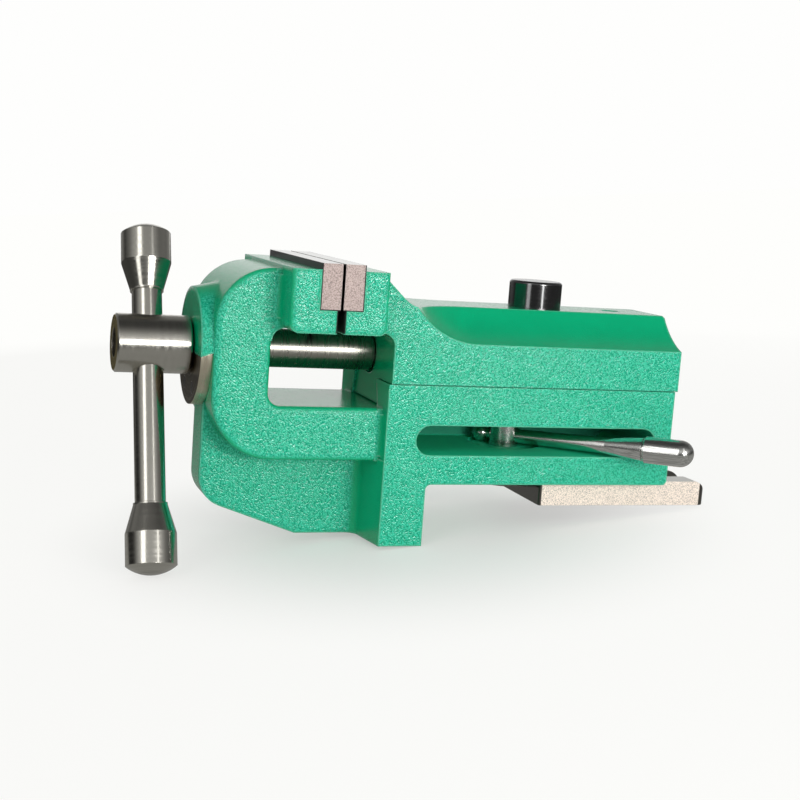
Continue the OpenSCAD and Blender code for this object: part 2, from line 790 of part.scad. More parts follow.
module slide_casting() {
    cavity_half = nut_width / 2 + nut_room;
    cavity_run = nut_length / 2 + nut_room;
    color(enamel)
        difference() {
            union() {
                difference() {
                    across(body_width) slide_outline();
                    cove(-1);
                    cove(1);
                }
                difference() {
                    across(jaw_width) rear_block_outline();
                    block_edge_cuts(rear_block_x, -1);
                }
                along(slide_x, slide_end)
                    dovetail_section(slide_z + cut, seam_z - dovetail_depth, 0);
                for (side = [-1, 1])
                    translate([0, 0, block_z + block_corner])
                        linear_extrude(height = block_top - saddle_drop - ear_fillet - block_z - block_corner)
                            corner(rear_block_x, side * body_width / 2, ear_fillet, 1, side);
            }
            rod(spindle_bore_d, slide_x - cut, slide_end + cut, 0, axis_z);
            translate([button_x - cavity_run, -cavity_half, groove_z])
                cube([2 * cavity_run, 2 * cavity_half, cavity_top - groove_z]);
            translate([button_x, 0, button_bore_z])
                cylinder(d = button_d + 2 * running_fit, h = slide_height);
            for (side = [-1, 1])
                translate([button_x, side * pin_y, axis_z])
                    cylinder(d = pin_d + 2 * running_fit, h = button_bore_z - axis_z + cut);
            translate([slide_x + set_screw_from_front, 0, slide_top - set_screw_length])
                cylinder(d = set_screw_d, h = set_screw_length + cut);
            at_jaw_screws()
                jaw_screw_hole(rear_grip_x + head_inset, 1, 0, jaw_screw_z);
        }
}

module set_screw() {
    top = slide_top - set_screw_inset;
    color(dark_steel)
        translate([slide_x + set_screw_from_front, 0, 0])
            difference() {
                translate([0, 0, slide_top - set_screw_length])
                    cylinder(d = set_screw_d, h = set_screw_length - set_screw_inset);
                translate([-set_screw_d, -set_screw_slot / 2, top - set_screw_slot_depth])
                    cube([2 * set_screw_d, set_screw_slot, set_screw_slot_depth + cut]);
            }
}

module release_button() {
    radius = button_d / 2;
    top = slide_top + button_height;
    color(black)
        translate([button_x, 0, 0])
            difference() {
                rotate_extrude()
                    difference() {
                        translate([0, button_z]) square([radius, top - button_z]);
                        corner_cut(radius, top, button_edge, -1, -1);
                    }
                translate([0, 0, button_z - cut])
                    cylinder(d = spring_d + 2 * nut_room, h = spring_recess + cut);
                for (side = [-1, 1])
                    translate([0, side * pin_y, button_z - cut]) cylinder(d = pin_d, h = pin_bite + cut);
            }
}

module push_pins() {
    foot = nut_top - pin_bite;
    color(bright_steel)
        for (side = [-1, 1])
            translate([button_x, side * pin_y, foot]) cylinder(d = pin_d, h = button_z + pin_bite - foot);
}

module half_nut() {
    color(bronze)
        difference() {
            translate([button_x - nut_length / 2, -nut_width / 2, nut_z])
                cube([nut_length, nut_width, nut_top - nut_z]);
            rod(spindle_d + 2 * running_fit, button_x - nut_length, button_x + nut_length, 0, axis_z);
            for (side = [-1, 1])
                translate([button_x, side * pin_y, nut_top - pin_bite])
                    cylinder(d = pin_d, h = pin_bite + cut);
        }
}

module button_spring() {
    height = button_z + spring_recess - button_bore_z;
    color(dark_steel)
        translate([button_x, 0, button_bore_z])
            difference() {
                cylinder(d = spring_d, h = height);
                translate([0, 0, -cut]) cylinder(d = spring_d - 2 * spring_wall, h = height + 2 * cut);
            }
}

module spindle() {
    groove_d = spindle_d - 2 * keeper_groove_depth;
    color(dark_steel)
        translate([0, 0, axis_z])
            rotate([0, 90, 0])
                rotate_extrude()
                    polygon([[0, hub_socket_x], [spindle_d / 2, hub_socket_x],
                        [spindle_d / 2, boss_x - end_play], [groove_d / 2, boss_x - end_play],
                        [groove_d / 2, arm_x + end_play], [spindle_d / 2, arm_x + end_play],
                        [spindle_d / 2, spindle_end - hub_bevel],
                        [spindle_d / 2 - hub_bevel, spindle_end], [0, spindle_end]]);
}

// Turns what is drawn along Z through the spindle axis to the lean of the tommy bar.
module on_bar_axis() {
    translate([bar_x, 0, axis_z])
        rotate([-bar_lean, 0, 0]) children();
}

module spindle_hub() {
    radius = hub_d / 2;
    hole = bar_hole_d / 2;
    mouth = bar_mouth + cut;
    color(bright_steel)
        difference() {
            translate([0, 0, axis_z])
                rotate([0, 90, 0])
                    rotate_extrude()
                        polygon([[0, hub_x], [radius - turned_bevel, hub_x], [radius, hub_x + turned_bevel],
                            [radius, hub_end_x - turned_bevel], [radius - turned_bevel, hub_end_x],
                            [0, hub_end_x]]);
            rod(spindle_d, hub_socket_x, hub_end_x + cut, 0, axis_z);
            rod(hub_hole_d, hub_x - cut, bar_x, 0, axis_z);
            on_bar_axis() translate([0, 0, -hub_d]) cylinder(r = hole, h = 2 * hub_d);
            on_bar_axis()
                for (side = [0, 180])
                    rotate([side, 0, 0])
                        translate([0, 0, radius - bar_mouth])
                            cylinder(r1 = hole, r2 = hole + mouth, h = mouth);
        }
}

module thrust_washer() {
    color(dark_steel)
        difference() {
            rod(spindle_d + 2 * washer_wall, hub_end_x, boss_x - end_play, 0, axis_z);
            rod(spindle_d, hub_end_x - cut, boss_x + cut, 0, axis_z);
        }
}

module tommy_bar() {
    inside = knob_cone + knob_straight - knob_seat_wall;
    color(bright_steel)
        on_bar_axis()
            translate([0, 0, bar_rise - bar_free_length - inside])
                cylinder(d = bar_d, h = bar_free_length + 2 * inside);
}

// A knob that points up from its small end at height zero.
module knob() {
    inside = knob_cone + knob_straight - knob_seat_wall;
    dome_radius = (knob_d * knob_d / 4 + knob_end * knob_end) / (2 * knob_end);
    color(bright_steel)
        rotate_extrude()
            difference() {
                polygon([[bar_d / 2, 0], [knob_neck_d / 2, 0], [knob_neck_d / 2, knob_lip],
                    [knob_d / 2, knob_cone], [knob_d / 2, knob_length + cut], [0, knob_length + cut],
                    [0, inside], [bar_d / 2, inside]]);
                difference() {
                    translate([0, inside + knob_lip]) square([knob_d, knob_length]);
                    translate([0, knob_length - dome_radius]) circle(r = dome_radius);
                }
            }
}

module upper_knob() on_bar_axis() translate([0, 0, bar_rise]) knob();

module lower_knob() on_bar_axis() translate([0, 0, bar_rise - bar_free_length]) mirror([0, 0, 1]) knob();

// Turns what is drawn along Z to the direction of the clamp lever.
module on_lever_axis() {
    translate([pivot_x, 0, lever_z])
        rotate([0, 0, -lever_angle])
            rotate([0, quarter_turn - lever_tilt, 0]) children();
}

module lever_hub() {
    radius = lever_hub_d / 2;
    top = lever_foot_z + lever_hub_height;
    color(bright_steel)
        difference() {
            translate([pivot_x, 0, 0])
                rotate_extrude()
                    polygon([[stud_bore_d / 2, lever_foot_z], [radius, lever_foot_z],
                        [radius, top - turned_bevel], [radius - turned_bevel, top], [0, top],
                        [0, top - lever_hub_roof], [stud_bore_d / 2, top - lever_hub_roof]]);
            on_lever_axis() translate([0, 0, lever_start]) cylinder(d = rod_d, h = lever_hub_d);
            on_lever_axis() mirror([0, 0, 1]) translate([0, 0, lever_start])
                cylinder(d = ball_stem_d, h = lever_hub_d);
        }
}

module lever_rod() {
    neck_end = grip_start - grip_groove;
    taper_start = lever_hub_d / 2;
    color(bright_steel)
        on_lever_axis()
            rotate_extrude()
                polygon([[0, lever_start], [rod_d / 2, lever_start], [rod_d / 2, taper_start],
                    [rod_mid_d / 2, slot_wall_run], [rod_end_d / 2, neck_end],
                    [rod_end_d / 2 - grip_groove_depth, neck_end],
                    [rod_end_d / 2 - grip_groove_depth, grip_start], [spigot_d / 2, grip_start],
                    [spigot_d / 2, grip_start + spigot_length], [0, grip_start + spigot_length]]);
}

module lever_ball() {
    color(bright_steel)
        on_lever_axis()
            mirror([0, 0, 1]) {
                translate([0, 0, ball_reach]) sphere(d = ball_d);
                translate([0, 0, lever_start]) cylinder(d = ball_stem_d, h = ball_reach - lever_start);
            }
}

module lever_grip() {
    color(bright_steel)
        on_lever_axis()
            difference() {
                union() {
                    translate([0, 0, grip_start]) cylinder(d = grip_d, h = grip_length - grip_d / 2);
                    translate([0, 0, lever_length - grip_d / 2]) sphere(d = grip_d);
                }
                translate([0, 0, grip_start - cut]) cylinder(d = spigot_d, h = spigot_length + cut);
            }
}

module plate_side_outline() {
    difference() {
        translate([plate_x, 0]) square([plate_length, plate_thickness]);
        corner_cut(plate_end, plate_thickness, plate_rear_edge, -1, -1);
        corner_cut(plate_x, plate_thickness, plate_front_edge, 1, -1);
    }
}

module plate_plan() {
    difference() {
        translate([plate_x, -plate_width / 2]) square([plate_length, plate_width]);
        for (side = [-1, 1]) {
            corner_cut(plate_x, side * plate_width / 2, plate_front_corner, 1, -side);
            corner_cut(plate_end, side * plate_width / 2, plate_corner, -1, -side);
        }
    }
}

module pivot_stud_shape() {
    head = stud_d / 2 + stud_head_cone;
    top = lever_foot_z + lever_hub_height - lever_hub_roof - stud_end_room;
    polygon([[0, eye_z], [head, eye_z], [stud_d / 2, eye_z + stud_head_cone],
        [stud_d / 2, seat_z - seat_depth], [stud_thread_d / 2, seat_z], [stud_thread_d / 2, top], [0, top]]);
}

module swivel_plate() {
    slot_end = plate_end - plate_slot_length;
    color(dark_steel)
        difference() {
            union() {
                intersection() {
                    across(plate_width) plate_side_outline();
                    linear_extrude(height = plate_thickness) plate_plan();
                }
                translate([pivot_x, 0, eye_z]) cylinder(d = eye_d, h = eye_thickness);
                translate([pivot_x, -eye_d / 2, eye_z])
                    cube([plate_setback + plate_front_edge + cut, eye_d, eye_thickness]);
            }
            translate([slot_end, -plate_slot_offset, -cut])
                cylinder(d = plate_slot_width, h = plate_thickness + 2 * cut);
            translate([slot_end, -plate_slot_offset - plate_slot_width / 2, -cut])
                cube([plate_slot_length + cut, plate_slot_width, plate_thickness + 2 * cut]);
            translate([pivot_x, 0, 0]) rotate_extrude() pivot_stud_shape();
            translate([pivot_x, 0, eye_z - cut]) cylinder(r = stud_d / 2 + stud_head_cone, h = cut);
        }
}

module pivot_stud() {
    color(bright_steel)
        translate([pivot_x, 0, 0]) rotate_extrude() pivot_stud_shape();
}

swivel_plate();
pivot_stud();
frame_casting();
front_jaw_plate();
front_jaw_screws();
spindle_bush();
retaining_segment();
retaining_screws();
slide_casting();
rear_jaw_plate();
rear_jaw_screws();
set_screw();
release_button();
push_pins();
half_nut();
button_spring();
spindle();
spindle_hub();
thrust_washer();
tommy_bar();
upper_knob();
lower_knob();
lever_hub();
lever_rod();
lever_ball();
lever_grip();
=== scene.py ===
# %% [markdown]
# # A watchmaker's vise, dressed in Blender
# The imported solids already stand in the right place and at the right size, in metres. This lesson gives
# them a studio, a camera and finishes: hammered green enamel, turned, ground and satin steel, bronze and
# black lacquer. One piece that the solids only hint at, the button's coil spring, is modelled here.

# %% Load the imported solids
import json
import math

import bmesh
import bpy
from mathutils import Matrix, Vector


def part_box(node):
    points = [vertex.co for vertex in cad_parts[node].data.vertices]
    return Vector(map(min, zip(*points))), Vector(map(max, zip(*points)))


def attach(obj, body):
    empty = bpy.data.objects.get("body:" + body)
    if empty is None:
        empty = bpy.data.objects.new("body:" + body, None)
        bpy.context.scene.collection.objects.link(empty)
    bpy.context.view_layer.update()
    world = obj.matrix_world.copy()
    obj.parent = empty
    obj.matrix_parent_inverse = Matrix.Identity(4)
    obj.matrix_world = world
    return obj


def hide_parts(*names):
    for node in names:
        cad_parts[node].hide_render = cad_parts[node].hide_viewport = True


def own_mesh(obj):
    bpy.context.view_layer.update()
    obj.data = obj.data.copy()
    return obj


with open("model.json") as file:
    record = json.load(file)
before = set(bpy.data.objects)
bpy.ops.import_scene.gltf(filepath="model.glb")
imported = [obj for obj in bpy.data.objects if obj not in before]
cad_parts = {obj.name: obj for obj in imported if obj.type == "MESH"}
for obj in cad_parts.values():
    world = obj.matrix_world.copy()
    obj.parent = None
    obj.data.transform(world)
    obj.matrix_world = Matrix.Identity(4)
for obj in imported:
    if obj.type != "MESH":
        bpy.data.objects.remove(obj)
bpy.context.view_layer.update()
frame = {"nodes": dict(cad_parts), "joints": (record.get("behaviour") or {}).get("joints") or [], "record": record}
nodes = frame["nodes"]
joints = {joint["name"]: joint for joint in frame["joints"]}
mounts = {mount["name"]: mount for mount in frame["record"]["mounts"]}
MILLIMETRE = 0.001
print("pieces loaded:", len(nodes), "joints:", sorted(joints))

# %% [markdown]
# ## Camera
# The vise was seen from its lever side, a little from the front and a little from above, and the camera was
# not quite level with the bed. A camera that looks along a direction and is then rolled about its own axis
# says this in three numbers. Nothing is shifted, so the picture's middle is where the camera looks.

# %% Camera
picture_pixels = 800
focal_pixels = 1428.8
camera_place = Vector((-0.2622, -0.4992, 0.1122))
look_direction = Vector((0.3287, 0.9335, -0.1431))
camera_roll = math.radians(4.2)

camera_data = bpy.data.cameras.new("camera")
camera_data.sensor_width = 36
camera_data.lens = focal_pixels / picture_pixels * camera_data.sensor_width
camera_data.clip_start = 0.01
camera = bpy.data.objects.new("camera", camera_data)
level_turn = look_direction.to_track_quat("-Z", "Y").to_matrix().to_4x4()
camera.matrix_world = Matrix.Translation(camera_place) @ level_turn @ Matrix.Rotation(camera_roll, 4, "Z")
bpy.context.scene.collection.objects.link(camera)
bpy.context.scene.camera = camera
bpy.context.scene.view_settings.view_transform = "Standard"
print("lens in mm:", round(camera_data.lens, 1))

# %% [markdown]
# ## Nodes without a mouse
# A shader is a small network. A few helpers keep the rest readable: they add a node and feed its inputs with
# numbers or with other nodes' outputs, do one step of arithmetic, or turn a given colour into the linear
# values that Blender computes with.

# %% Helpers for shader nodes
def feed(tree, node, values):
    """Feeds a node's inputs, named or counted from zero, with numbers, colours or other nodes' outputs."""
    for name, value in values.items():
        if isinstance(value, bpy.types.NodeSocket):
            tree.links.new(value, node.inputs[name])
        else:
            node.inputs[name].default_value = value


def place(tree, kind, inputs=None, **settings):
    """Adds a node, sets its options and feeds its inputs."""
    node = tree.nodes.new(kind)
    for name, value in settings.items():
        setattr(node, name, value)
    feed(tree, node, inputs or {})
    return node


def calculate(tree, operation, first, second):
    """One step of arithmetic on two values."""
    return place(tree, "ShaderNodeMath", {0: first, 1: second}, operation=operation).outputs[0]


def absolute(tree, value):
    """A value without its sign."""
    return place(tree, "ShaderNodeMath", {0: value}, operation="ABSOLUTE").outputs[0]


def vector_step(tree, operation, first, second, output="Vector"):
    """One step of arithmetic on two vectors."""
    node = place(tree, "ShaderNodeVectorMath", {0: first, 1: second}, operation=operation)
    return node.outputs[output]


def remap(tree, value, low, high, to_low, to_high):
    """Stretches a value from one range to another, with soft ends."""
    numbers = {"Value": value, "From Min": low, "From Max": high, "To Min": to_low, "To Max": to_high}
    return place(tree, "ShaderNodeMapRange", numbers, interpolation_type="SMOOTHSTEP").outputs["Result"]


# %% Helpers for colours
def tone(red, green, blue):
    """A colour as an eye sees it on a screen, 0 to 255, as linear values with full opacity."""
    linear = []
    for level in (red, green, blue):
        share = level / 255
        linear.append(share / 12.92 if share <= 0.04045 else ((share + 0.055) / 1.055) ** 2.4)
    return (*linear, 1)


def darken(colour, share):
    """A colour that keeps only a share of its light."""
    red, green, blue, opacity = colour
    return (share * red, share * green, share * blue, opacity)


def blend_colours(tree, share, first, second):
    """Mixes two colours; share is 0 for the first and 1 for the second."""
    node = place(tree, "ShaderNodeMix", {0: share, 6: first, 7: second}, data_type="RGBA")
    return node.outputs[2]


print("enamel green in linear values:", [round(level, 3) for level in tone(0, 158, 110)])

# %% [markdown]
# ## Studio
# The real vise stood nose up on a white table: on the heel of its leg, on the rear edge of its plate and on
# the lower end of its bar. The bed stays level here, so the table is the surface that slopes. To the camera
# the paper glows a little, so that it stays pale and keeps only a faint shadow, and away from the vise it
# fades to plain white, which hides its far edge. Lamps meet ordinary white paper, and polished metal mirrors
# a darker paper, darkest far from the vise.

# %% Table
table_size = 3.0
table_slope = math.atan(0.1)
heel_x = mounts["bench_edge_stop"]["pos_m"][0]
heel_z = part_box("frame_casting")[0].z

table_mesh = bmesh.new()
bmesh.ops.create_grid(table_mesh, x_segments=1, y_segments=1, size=table_size)
bmesh.ops.rotate(table_mesh, verts=table_mesh.verts, matrix=Matrix.Rotation(-table_slope, 3, "Y"))
bmesh.ops.translate(table_mesh, verts=table_mesh.verts, vec=(heel_x, 0, heel_z))
table_data = bpy.data.meshes.new("table")
table_mesh.to_mesh(table_data)
table_mesh.free()
table = bpy.data.objects.new("table", table_data)
bpy.context.scene.collection.objects.link(table)
print("table slopes", round(math.degrees(table_slope), 1), "degrees")

# %% White paper
shadow_start = 0.04
shadow_end = 0.14
shadow_glow = 0.42
paper_glow = 0.88
fade_start = 0.22
fade_end = 0.65
mirror_start = 0.15
mirror_end = 0.6
mirror_near = 0.32
mirror_far = 0.06

paper = bpy.data.materials.new("white_table")
paper.use_nodes = True
tree = paper.node_tree
tree.nodes.clear()
spot = place(tree, "ShaderNodeTexCoord").outputs["Object"]
away = vector_step(tree, "DISTANCE", spot, (heel_x, 0, heel_z), "Value")
far = remap(tree, away, fade_start, fade_end, 0, 1)
near_glow = remap(tree, away, shadow_start, shadow_end, shadow_glow, paper_glow)
glow = calculate(tree, "MAXIMUM", near_glow, far)
ray = place(tree, "ShaderNodeLightPath")
glow_seen = calculate(tree, "MULTIPLY", glow, ray.outputs["Is Camera Ray"])
lit_paper = place(tree, "ShaderNodeBsdfPrincipled", {"Base Color": tone(246, 246, 244), "Roughness": 0.6})
glowing_paper = place(tree, "ShaderNodeEmission", {"Color": tone(254, 254, 252)})
seen_paper = place(
    tree, "ShaderNodeMixShader", {0: glow_seen, 1: lit_paper.outputs[0], 2: glowing_paper.outputs[0]}
)
mirror_level = remap(tree, away, mirror_start, mirror_end, mirror_near, mirror_far)
shaded_paper = place(tree, "ShaderNodeEmission", {"Color": tone(254, 254, 250), "Strength": mirror_level})
surface = place(
    tree, "ShaderNodeMixShader",
    {0: ray.outputs["Is Glossy Ray"], 1: seen_paper.outputs[0], 2: shaded_paper.outputs[0]},
)
place(tree, "ShaderNodeOutputMaterial", {"Surface": surface.outputs[0]})
table_data.materials.append(paper)
print("paper glows from", shadow_glow, "to", paper_glow)

# %% [markdown]
# ## Light
# Polished metal is only as good as what it mirrors. Here the ceiling is dark, the wall in front of the vise
# is palest a little above the horizon, the walls beside and behind it are dimmer, and a white sheet hangs
# straight behind the vise. Matt surfaces get an even light instead, so the world asks which kind of ray is
# looking before it answers.

# %% World
ceiling_level = 0.16
wall_level = 0.62
horizon_share = 0.12
side_share = 0.32
back_level = 0.26
plain_level = 0.5
front_way = Vector((-0.29, -0.96, 0))
sheet_way = Vector((0.33, 0.94, 0))

world = bpy.data.worlds.new("studio")
world.use_nodes = True
tree = world.node_tree
tree.nodes.clear()
ray = place(tree, "ShaderNodeLightPath")
direction = place(tree, "ShaderNodeTexCoord").outputs["Generated"]
height = absolute(tree, place(tree, "ShaderNodeSeparateXYZ", {0: direction}).outputs["Z"])
forward = vector_step(tree, "DOT_PRODUCT", direction, front_way, "Value")
backward = vector_step(tree, "DOT_PRODUCT", direction, sheet_way, "Value")
walls = remap(tree, height, 0.3, 1.0, wall_level, ceiling_level)
walls = calculate(tree, "MULTIPLY", walls, remap(tree, height, 0.05, 0.35, horizon_share, 1))
walls = calculate(tree, "MULTIPLY", walls, remap(tree, forward, 0.1, 0.7, side_share, 1))
back_wall = remap(tree, backward, 0.1, 0.8, 0, back_level)
sheet = remap(tree, backward, 0.80, 0.94, 0, 1)
mirrored = calculate(tree, "MAXIMUM", walls, calculate(tree, "MAXIMUM", back_wall, sheet))
seen_in_gloss = calculate(tree, "MAXIMUM", ray.outputs["Is Glossy Ray"], ray.outputs["Is Transmission Ray"])
lit_or_mirrored = place(
    tree, "ShaderNodeMix", {0: seen_in_gloss, 2: plain_level, 3: mirrored}, data_type="FLOAT"
).outputs[0]
level = calculate(tree, "MAXIMUM", lit_or_mirrored, ray.outputs["Is Camera Ray"])
sky = place(tree, "ShaderNodeBackground", {"Color": tone(254, 254, 253), "Strength": level})
place(tree, "ShaderNodeOutputWorld", {"Surface": sky.outputs[0]})
bpy.context.scene.world = world
print("world levels:", ceiling_level, wall_level, plain_level)

# %% [markdown]
# Lamps draw the bright streaks: a tall box to the left and a slim one to the right for the steel, a strip in
# front for the enamel's sparkle and a small one for the button. Two more only lift the shade, a low card in
# front and a broad one behind, so nothing mirrors them.

# %% Soft boxes
def soft_box(name, place_at, aim_at, width, height, watts, in_gloss=True):
    """A rectangular lamp that faces a point and that the camera doesn't see."""
    lamp = bpy.data.lights.new(name, "AREA")
    lamp.shape = "RECTANGLE"
    lamp.size = width
    lamp.size_y = height
    lamp.energy = watts
    lamp_object = bpy.data.objects.new(name, lamp)
    aim = Vector(aim_at) - Vector(place_at)
    turn = aim.to_track_quat("-Z", "Y").to_matrix().to_4x4()
    lamp_object.matrix_world = Matrix.Translation(place_at) @ turn
    lamp_object.visible_camera = False
    lamp_object.visible_glossy = in_gloss
    bpy.context.scene.collection.objects.link(lamp_object)


vise_middle = (-0.07, 0, 0.04)
soft_box("left_box", (-0.85, -0.63, 0.38), vise_middle, 0.30, 0.90, 1.7)
soft_box("right_box", (0.064, -0.552, 0.40), vise_middle, 0.07, 0.30, 0.10)
soft_box("front_strip", (0.15, -1.0, 0.235), vise_middle, 0.44, 0.20, 4.6)
soft_box("button_strip", (0.047, -0.50, 0.05), (0.07, 0, 0.09), 0.05, 0.14, 0.16)
soft_box("low_card", (-0.05, -0.42, 0.04), (-0.05, 0, 0), 0.40, 0.08, 0.25, in_gloss=False)
soft_box("back_fill", (0.65, 0.70, 0.18), vise_middle, 0.70, 0.40, 5.0, in_gloss=False)
print("lamps:", [lamp.name for lamp in bpy.data.lights])

# %% [markdown]
# ## Shared effects
# The same few effects come back on several materials, so each is a node group with its own inputs. The first
# rounds edges: real castings and ground plates have no razor edges, and a rounded edge catches a thin line
# of light. Bevelling the solids' meshes would change them, so the group bends only the shading normal, and
# also tells where the edges are.

# %% Group for soft edges
def start_group(name, inputs, outputs):
    """A new shader group with its sockets; gives the tree, its input node and its output node."""
    tree = bpy.data.node_groups.new(name, "ShaderNodeTree")
    for label, kind, value in inputs:
        socket = tree.interface.new_socket(label, in_out="INPUT", socket_type="NodeSocket" + kind)
        socket.default_value = value
    for label, kind in outputs:
        tree.interface.new_socket(label, in_out="OUTPUT", socket_type="NodeSocket" + kind)
    return tree, place(tree, "NodeGroupInput"), place(tree, "NodeGroupOutput")


tree, start, end = start_group(
    "soft_edges", [("Radius", "Float", 0.0005)], [("Normal", "Vector"), ("Edge", "Float")]
)
rounded = place(tree, "ShaderNodeBevel", {"Radius": start.outputs["Radius"]}, samples=6).outputs[0]
flat = place(tree, "ShaderNodeNewGeometry").outputs["Normal"]
likeness = vector_step(tree, "DOT_PRODUCT", rounded, flat, "Value")
edge = remap(tree, likeness, 0.99, 0.8, 0, 1)
feed(tree, end, {"Normal": rounded, "Edge": edge})
soft_edges = tree
print("group:", soft_edges.name)

# %% [markdown]
# The second group is the skin of hammered enamel. Stoved enamel dries in small pebbles under a millimetre
# wide, and each pebble mirrors the soft boxes a little differently. A noise used as a height gives that
# skin. A noise is built on a grid, which shows on faces that lie along it, so the pattern is turned askew.

# %% Group for hammered enamel
tree, start, end = start_group(
    "hammered_skin", [("Pebble", "Float", 0.0011)], [("Height", "Float"), ("Patch", "Float")]
)
spot = place(tree, "ShaderNodeTexCoord").outputs["Object"]
askew = place(tree, "ShaderNodeMapping", {"Vector": spot, "Rotation": (0.6, 0.45, 0.3)}).outputs[0]
per_metre = calculate(tree, "DIVIDE", 1.0, start.outputs["Pebble"])
pebbles = place(
    tree, "ShaderNodeTexNoise", {"Vector": askew, "Scale": per_metre, "Detail": 0, "Distortion": 0.4}
)
patches = place(tree, "ShaderNodeTexNoise", {"Vector": spot, "Scale": 60, "Detail": 3, "Roughness": 0.6})
feed(tree, end, {"Height": pebbles.outputs["Fac"], "Patch": patches.outputs["Fac"]})
hammered_skin = tree
print("group:", hammered_skin.name)

# %% [markdown]
# The third group is what a lathe leaves: fine rings round an axis. On a cylinder the rings differ along
# the axis, on an end face they differ with the distance from it, so the sum of the two distances serves
# both, and cones as well.

# %% Group for turned rings
tree, start, end = start_group(
    "turned_rings",
    [("Axis Point", "Vector", (0, 0, 0)), ("Axis", "Vector", (0, 0, 1)), ("Ring", "Float", 0.0002)],
    [("Height", "Float"), ("Band", "Float"), ("End Face", "Float")],
)
coordinates = place(tree, "ShaderNodeTexCoord")
arm = vector_step(tree, "SUBTRACT", coordinates.outputs["Object"], start.outputs["Axis Point"])
along = vector_step(tree, "DOT_PRODUCT", arm, start.outputs["Axis"], "Value")
foot = place(
    tree, "ShaderNodeVectorMath", {0: start.outputs["Axis"], "Scale": along}, operation="SCALE"
).outputs[0]
out_from_axis = vector_step(tree, "DISTANCE", arm, foot, "Value")
travel = calculate(tree, "ADD", along, out_from_axis)
rings_per_metre = calculate(tree, "DIVIDE", 1.0, start.outputs["Ring"])
fine = place(
    tree, "ShaderNodeTexNoise", {"W": travel, "Scale": rings_per_metre, "Detail": 2}, noise_dimensions="1D"
)
broad = place(tree, "ShaderNodeTexNoise", {"W": travel, "Scale": 700, "Detail": 3}, noise_dimensions="1D")
facing = vector_step(tree, "DOT_PRODUCT", coordinates.outputs["Normal"], start.outputs["Axis"], "Value")
end_face = remap(tree, absolute(tree, facing), 0.9, 0.98, 0, 1)
feed(tree, end, {"Height": fine.outputs["Fac"], "Band": broad.outputs["Fac"], "End Face": end_face})
turned_rings = tree
print("group:", turned_rings.name)

# %% [markdown]
# The fourth group is ground or sawn steel: scratches that run one way, made by a noise that is turned and
# then stretched along that way, and a speckle for the grain of a sawn end.

# %% Group for ground steel
tree, start, end = start_group(
    "ground_grain",
    [("Turn", "Vector", (0, 0, 0)), ("Stretch", "Vector", (1, 1, 1)), ("Grain", "Float", 0.0005)],
    [("Scratch", "Float"), ("Speckle", "Float")],
)
spot = place(tree, "ShaderNodeTexCoord").outputs["Object"]
turned = place(tree, "ShaderNodeMapping", {"Vector": spot, "Rotation": start.outputs["Turn"]}).outputs[0]
stretched = vector_step(tree, "MULTIPLY", turned, start.outputs["Stretch"])
scratches = place(
    tree, "ShaderNodeTexNoise", {"Vector": stretched, "Scale": 3000, "Detail": 3, "Roughness": 0.6}
)
grains_per_metre = calculate(tree, "DIVIDE", 1.0, start.outputs["Grain"])
speckles = place(
    tree, "ShaderNodeTexNoise", {"Vector": spot, "Scale": grains_per_metre, "Detail": 3, "Roughness": 0.7}
)
feed(tree, end, {"Scratch": scratches.outputs["Fac"], "Speckle": speckles.outputs["Fac"]})
ground_grain = tree
print("group:", ground_grain.name)

# %% [markdown]
# ## Materials in general
# Each finish starts with a Principled shader, places the groups it needs and ends by bending the normal with
# a height pattern. These steps are the same for all, so they get helpers too.

# %% Helpers for materials
def begin_material(name):
    """An empty material with its Principled shader and output; gives the material, tree and shader."""
    material = bpy.data.materials.new(name)
    material.use_nodes = True
    tree = material.node_tree
    tree.nodes.clear()
    shader = place(tree, "ShaderNodeBsdfPrincipled")
    place(tree, "ShaderNodeOutputMaterial", {"Surface": shader.outputs[0]})
    return material, tree, shader


def use_group(tree, group, inputs):
    """Places a shared group in a material."""
    return place(tree, "ShaderNodeGroup", inputs, node_tree=group)


def relief_normal(tree, edges, height, depth):
    """Bends the soft-edge group's normal by a height pattern of a given depth."""
    inputs = {"Strength": 1.0, "Distance": depth, "Height": height, "Normal": edges.outputs["Normal"]}
    return place(tree, "ShaderNodeBump", inputs).outputs[0]


def dress(material, *names):
    """Puts one material on CAD nodes."""
    for name in names:
        for slot in nodes[name].material_slots:
            slot.material = material


def middle_of(name):
    """The middle of a node's box."""
    low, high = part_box(name)
    return (low + high) / 2


print("nodes to dress:", len(nodes))
